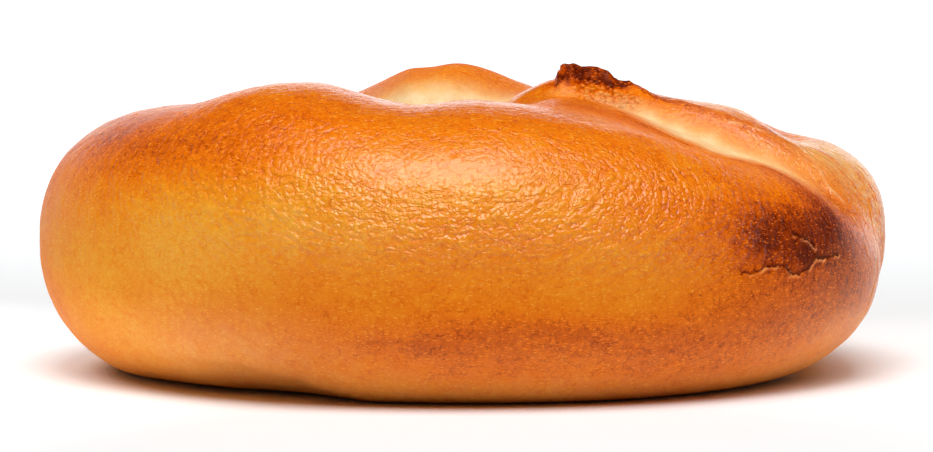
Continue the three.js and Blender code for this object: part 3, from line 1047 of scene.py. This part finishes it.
def crust_marks(nodes, place, flat_place):
    """The skin's small marks by name, each with its strength or height at the place."""
    streak = nodes.centred(nodes.noise(drawn_out(nodes, place), STREAK_SIZE, 3), 1.0)
    flat_glint_specks = specks(nodes, flat_place, *FLAT_GLINT_SPECKS)
    between_cracks = creased(nodes, shaken(nodes, place, *FINE_CRACKS_PUSH), *FINE_CRACKS)
    cobble = nodes.cells(shaken(nodes, place, *COBBLE_PUSH), COBBLE_SIZE).outputs["Distance"]
    cobble = nodes.math("SUBTRACT", cobble, COBBLE_EDGE)
    return {
        "streak": nodes.math("MULTIPLY", streak, nodes.attribute("streaks")),
        # Light specks: painted glints.
        "painted glint specks": nodes.math("MAXIMUM", flat_glint_specks, specks(nodes, place, *FINE_GLINT_SPECKS)),
        "dark specks": specks(nodes, place, *DARK_SPECKS),
        "crinkles": nodes.math("MULTIPLY", wrinkles(nodes, place), nodes.attribute("crinkle")),
        "cobble": nodes.math("MULTIPLY", cobble, nodes.attribute("cobbles")),
        "fine cracks": nodes.math("SUBTRACT", 1.0, between_cracks),
        "pores": nodes.noise(place, PORE_SIZE, 2),
    }


def marks_sum(nodes, marks, effect):
    """The sum of the marks, each times its amount for one effect."""
    return nodes.summed([(marks[name], amount) for name, amount in MARK_AMOUNTS[effect].items()])


def brown_colour(nodes, place, flat_place, marks):
    brown = nodes.attribute("browning_and_painted_light")
    for size, amount, detail, is_flat in BROWN_NOISES:
        spots = nodes.noise(flat_place if is_flat else place, size, detail)
        brown = nodes.math("ADD", brown, nodes.centred(spots, amount))
    brown = nodes.math("ADD", brown, marks_sum(nodes, marks, "browning_and_painted_light"))
    lightened = nodes.math("MULTIPLY", nodes.attribute("paleness_and_painted_light"), PALE_LIGHTENS)
    ramp = nodes.add("ValToRGB", {"Fac": nodes.math("ADD", brown, lightened)})
    elements = ramp.color_ramp.elements
    while len(elements) < len(CRUST_RAMP):
        elements.new(0.5)
    for element, (position, colour) in zip(elements, CRUST_RAMP):
        element.position = position
        element.color = colour
    return ramp.outputs["Color"]


def pale_share(nodes, place, marks):
    pale = nodes.math("ADD", nodes.attribute("paleness_and_painted_light"), marks_sum(nodes, marks, "paleness_and_painted_light"))
    spots = nodes.noise(place, PALE_NOISE_SIZE, PALE_NOISE_DETAIL)
    uneven = nodes.math("ADD", 1.0, nodes.centred(spots, PALE_NOISE_AMOUNT))
    return nodes.math("MULTIPLY", pale, uneven)


def crust_material():
    material = bpy.data.materials.new("crust")
    nodes = Nodes(material)
    place = nodes.place()
    flat_place = nodes.vector("MULTIPLY", place, (1.0, 1.0, SPOT_FLATNESS))
    marks = crust_marks(nodes, place, flat_place)
    mix = nodes.add("Mix", data_type="RGBA")
    nodes.put(mix.inputs["Factor"], pale_share(nodes, place, marks))
    nodes.put(mix.inputs["A"], brown_colour(nodes, place, flat_place, marks))
    nodes.put(mix.inputs["B"], DOUGH_COLOUR)
    height = marks_sum(nodes, marks, "height")
    bump = nodes.add("Bump", {"Height": height, "Strength": 1, "Distance": 1 / MM_PER_METRE})
    nodes.shade("Principled BSDF", {
        "Base Color": mix.outputs["Result"], "Roughness": CRUST_ROUGHNESS,
        "Specular IOR Level": CRUST_SPECULAR,
        "Coat Weight": nodes.attribute("glaze"), "Coat Roughness": COAT_ROUGHNESS,
        "Normal": bump.outputs["Normal"], "Coat Normal": bump.outputs["Normal"],
    })
    return material


# ---- the bagel --------------------------------------------


def framed(points, own_low, own_high):
    """Points in millimetres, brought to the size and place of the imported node."""
    low, high = (np.array(corner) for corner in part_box("bagel"))
    scale = (high[0] - low[0]) / (own_high[0] - own_low[0])
    own_foot, foot = (own_low + own_high) / 2, (low + high) / 2
    own_foot[2], foot[2] = 0.0, low[2]
    return (points - own_foot) * scale + foot


def make_bagel():
    mesh = grid_mesh()
    refine(mesh, is_near_torn_edge, TORN_EDGE_CUTS, only_round_section=True)
    refine(mesh, is_near_groove, GROOVE_CUTS)
    refine(mesh, is_near_cracks, CRACK_CUTS)
    refine(mesh, is_near_skin_edge, SKIN_EDGE_CUTS)
    skin = Skin(mesh)
    points = skin.points + skin.normals * fine_relief(skin)[:, None]
    points = framed(points, skin.points.min(axis=0), skin.points.max(axis=0))
    mesh.vertices.foreach_set("co", points.ravel())

    for name, field in VERTEX_FIELDS.items():
        write_values(mesh, name, field(skin))
    bake_map(mesh)
    mesh.polygons.foreach_set("use_smooth", np.ones(len(mesh.polygons), dtype=bool))
    mesh.materials.append(crust_material())
    mesh.update()

    crust = bpy.data.objects.new("bagel_crust", mesh)
    bpy.context.scene.collection.objects.link(crust)
    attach(crust, "root")
    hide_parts("bagel")


# ---- floor, light and camera (metres) ---------------------

WHITE = (1.0, 1.0, 1.0, 1.0)
FLOOR_SIZE = 6.0
FLOOR_COLOUR = (0.93, 0.93, 0.93, 1.0)
FLOOR_ROUGHNESS = 0.7
GLOW_COLOUR = (0.93, 1.0, 1.03, 1.0)
# The floor's glow rises to the back, and beside the bagel, where it is stronger on the left. It
# rises with the distance from the middle, and with the share of it that is sideways.
BACK_GLOW, BACK_GLOW_Y = 0.9, (0.0, 0.45)
LEFT_GLOW, RIGHT_GLOW = 0.37, 0.12
SIDE_GLOW_SHARE, SIDE_GLOW_REACH = (0.4, 0.9), (0.043, 0.05)
FAR_GLOW, FAR_GLOW_REACH = 0.1, (0.08, 0.2)

# Two softboxes overhead, a bright one and a wide dim one: centre, size and power in watts.
SOFTBOXES = {
    "softbox": ((0.04, -0.41, 1.0), (0.60, 0.86), 10.8),
    "wide_softbox": ((0.05, -0.41, 1.01), (1.6, 0.88), 3.6),
}
# The studio's light by direction, from -1 to 1 along an axis: the limits, then the two levels.
WORLD_SIDEWAYS = ((0.55, 0.95), (0.0, 0.12))
WORLD_BACKWARDS = ((0.35, 0.7), (0.06, 1.5))
WORLD_UPWARDS = ((0.14, 0.32), (1.0, 0.02))


def make_floor():
    """A white floor that glows behind the bagel, and beside it to keep the side shadows narrow."""
    bpy.ops.mesh.primitive_plane_add(size=FLOOR_SIZE)
    floor = bpy.context.object
    floor.name = "floor"
    material = bpy.data.materials.new("floor")
    nodes = Nodes(material)
    place = nodes.place()
    reach = nodes.length(place)
    parts = nodes.add("SeparateXYZ", {0: place}).outputs

    sideways = nodes.math("DIVIDE", nodes.math("ABSOLUTE", parts["X"]), reach)
    beside = nodes.ramp(sideways, SIDE_GLOW_SHARE, (0, 1))
    beside = nodes.math("MULTIPLY", beside, nodes.ramp(reach, SIDE_GLOW_REACH, (0, 1)))
    left = nodes.math("MULTIPLY", nodes.math("LESS_THAN", parts["X"], 0.0), LEFT_GLOW - RIGHT_GLOW)
    side_glow = nodes.math("ADD", RIGHT_GLOW, left)
    side_glow = nodes.math("ADD", side_glow, nodes.ramp(reach, FAR_GLOW_REACH, (0, FAR_GLOW)))
    side_glow = nodes.math("MULTIPLY", beside, side_glow)
    back_glow = nodes.ramp(parts["Y"], BACK_GLOW_Y, (0, BACK_GLOW))
    nodes.shade("Principled BSDF", {
        "Base Color": FLOOR_COLOUR, "Roughness": FLOOR_ROUGHNESS, "Specular IOR Level": 0.0,
        "Emission Color": GLOW_COLOUR,
        "Emission Strength": nodes.math("MAXIMUM", back_glow, side_glow),
    })
    floor.data.materials.append(material)


def make_softboxes():
    for name, (centre, size, power) in SOFTBOXES.items():
        light = bpy.data.lights.new(name, "AREA")
        light.shape = "RECTANGLE"
        light.size, light.size_y = size
        light.energy = power
        holder = bpy.data.objects.new(name, light)
        holder.location = centre
        bpy.context.scene.collection.objects.link(holder)


def make_world():
    """A studio bright behind the bagel, dim elsewhere and dark above, that the camera sees as white."""
    world = bpy.data.worlds.new("studio")
    bpy.context.scene.world = world
    nodes = Nodes(world)
    direction = nodes.add("TexCoord").outputs["Generated"]
    parts = nodes.add("SeparateXYZ", {0: direction}).outputs
    sideways = nodes.ramp(nodes.math("ABSOLUTE", parts["X"]), *WORLD_SIDEWAYS)
    around = nodes.math("MAXIMUM", nodes.ramp(parts["Y"], *WORLD_BACKWARDS), sideways)
    level = nodes.math("MULTIPLY", around, nodes.ramp(parts["Z"], *WORLD_UPWARDS))
    is_seen = nodes.add("LightPath").outputs["Is Camera Ray"]
    nodes.shade("Background", {"Color": WHITE, "Strength": nodes.math("MAXIMUM", level, is_seen)})


# The camera looks down by the drop, in degrees, and the target shows at the photo's target pixel.
IMAGE_WIDTH, IMAGE_HEIGHT = 933, 452
CAMERA_DROP = 4.7
CAMERA_DISTANCE = 0.75
CAMERA_CLIP = (0.05, 20.0)
TARGET = (0.0, 0.0, 0.019)
TARGET_PIXEL = (462.5, 217.4)
PIXELS_PER_METRE = 7970.0
SENSOR_WIDTH = 36.0


def make_camera():
    data = bpy.data.cameras.new("camera")
    camera = bpy.data.objects.new("camera", data)
    drop = math.radians(CAMERA_DROP)
    back = Vector((0, -math.cos(drop), math.sin(drop)))
    camera.location = Vector(TARGET) + back * CAMERA_DISTANCE
    camera.rotation_euler = (-back).to_track_quat("-Z", "Y").to_euler()
    data.sensor_width = SENSOR_WIDTH
    data.lens = SENSOR_WIDTH * CAMERA_DISTANCE * PIXELS_PER_METRE / IMAGE_WIDTH
    data.shift_x = (IMAGE_WIDTH / 2 - TARGET_PIXEL[0]) / IMAGE_WIDTH
    data.shift_y = (TARGET_PIXEL[1] - IMAGE_HEIGHT / 2) / IMAGE_WIDTH
    data.clip_start, data.clip_end = CAMERA_CLIP
    bpy.context.scene.collection.objects.link(camera)
    bpy.context.scene.camera = camera


make_bagel()
make_floor()
make_softboxes()
make_world()
make_camera()
bpy.context.scene.view_settings.view_transform = "Standard"
